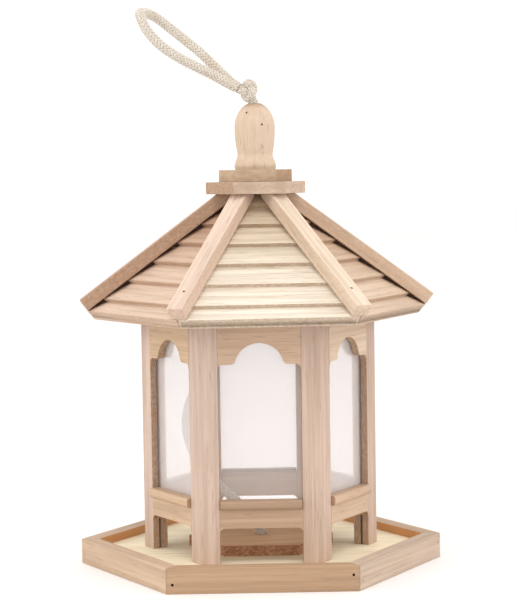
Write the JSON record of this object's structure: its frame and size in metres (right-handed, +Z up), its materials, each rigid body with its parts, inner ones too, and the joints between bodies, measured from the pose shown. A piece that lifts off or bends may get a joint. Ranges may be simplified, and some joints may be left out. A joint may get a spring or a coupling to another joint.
{
  "type": "hanging bird feeder",
  "caption": "Six-sided wooden bird feeder with clear windows on a seed tray, under a shingled roof that slides up its hanging rope.",
  "frame": {"origin": "centre of the tray's underside, on the rope's axis", "axes": "+Z up the rope's axis, -Y out of the front face, two tray corners on the X axis"},
  "size_m": [0.2136, 0.1922, 0.3279],
  "materials": {
    "rim_wood": "raw, sanded, unsealed",
    "floor_wood": "raw, sanded, unsealed",
    "plate_wood": "raw, sanded, unsealed",
    "post_wood": "raw, sanded, unsealed",
    "board_wood": "raw, sanded, unsealed",
    "shingle_wood": "raw, sanded, unsealed",
    "batten_wood": "raw, sanded, unsealed",
    "cap_wood": "raw, sanded, unsealed",
    "turned_wood": "raw, sanded, unsealed",
    "clear_pane": "clear, glossy",
    "cotton_rope": "braided cotton, matt",
    "brad_steel": "dull, driven flush"
  },
  "bodies": {
    "house": {"tray_rim_front": "rim_wood", "tray_rim_front_right": "rim_wood", "tray_rim_back_right": "rim_wood", "tray_rim_back": "rim_wood", "tray_rim_back_left": "rim_wood", "tray_rim_front_left": "rim_wood", "tray_floor": "floor_wood", "anchor_plate": "plate_wood", "corner_post_front_right": "post_wood", "corner_post_right": "post_wood", "corner_post_back_right": "post_wood", "corner_post_back_left": "post_wood", "corner_post_left": "post_wood", "corner_post_front_left": "post_wood", "rail_front": "board_wood", "rail_front_right": "board_wood", "rail_back_right": "board_wood", "rail_back": "board_wood", "rail_back_left": "board_wood", "rail_front_left": "board_wood", "sill_front": "board_wood", "sill_front_right": "board_wood", "sill_back_right": "board_wood", "sill_back": "board_wood", "sill_back_left": "board_wood", "sill_front_left": "board_wood", "arch_header_front": "board_wood", "arch_header_front_right": "board_wood", "arch_header_back_right": "board_wood", "arch_header_back": "board_wood", "arch_header_back_left": "board_wood", "arch_header_front_left": "board_wood", "inner_headers": "board_wood", "pane_front": "clear_pane", "pane_front_right": "clear_pane", "pane_back_right": "clear_pane", "pane_back": "clear_pane", "pane_back_left": "clear_pane", "pane_front_left": "clear_pane", "rope_inner": "cotton_rope", "rope_stopper_knot": "cotton_rope", "rim_brads": "brad_steel"},
    "roof": {"roof_panel_front": "shingle_wood", "roof_panel_front_right": "shingle_wood", "roof_panel_back_right": "shingle_wood", "roof_panel_back": "shingle_wood", "roof_panel_back_left": "shingle_wood", "roof_panel_front_left": "shingle_wood", "hip_batten_front_right": "batten_wood", "hip_batten_right": "batten_wood", "hip_batten_back_right": "batten_wood", "hip_batten_back_left": "batten_wood", "hip_batten_left": "batten_wood", "hip_batten_front_left": "batten_wood", "lower_cap": "cap_wood", "upper_cap": "cap_wood", "finial": "turned_wood", "batten_brads": "brad_steel"},
    "hanger": {"rope_top_knot": "cotton_rope", "rope_loop": "cotton_rope"}
  },
  "joints": [
    {"name": "roof_lift", "type": "slide", "parent": "house", "child": "roof", "axis": [0, 0, 1], "range_m": [0, 0.023], "deforming": ["rope_inner"]},
    {"name": "rope_pull", "type": "slide", "parent": "roof", "child": "hanger", "axis": [0, 0, 1], "range_m": [0, 0.023]}
  ]
}
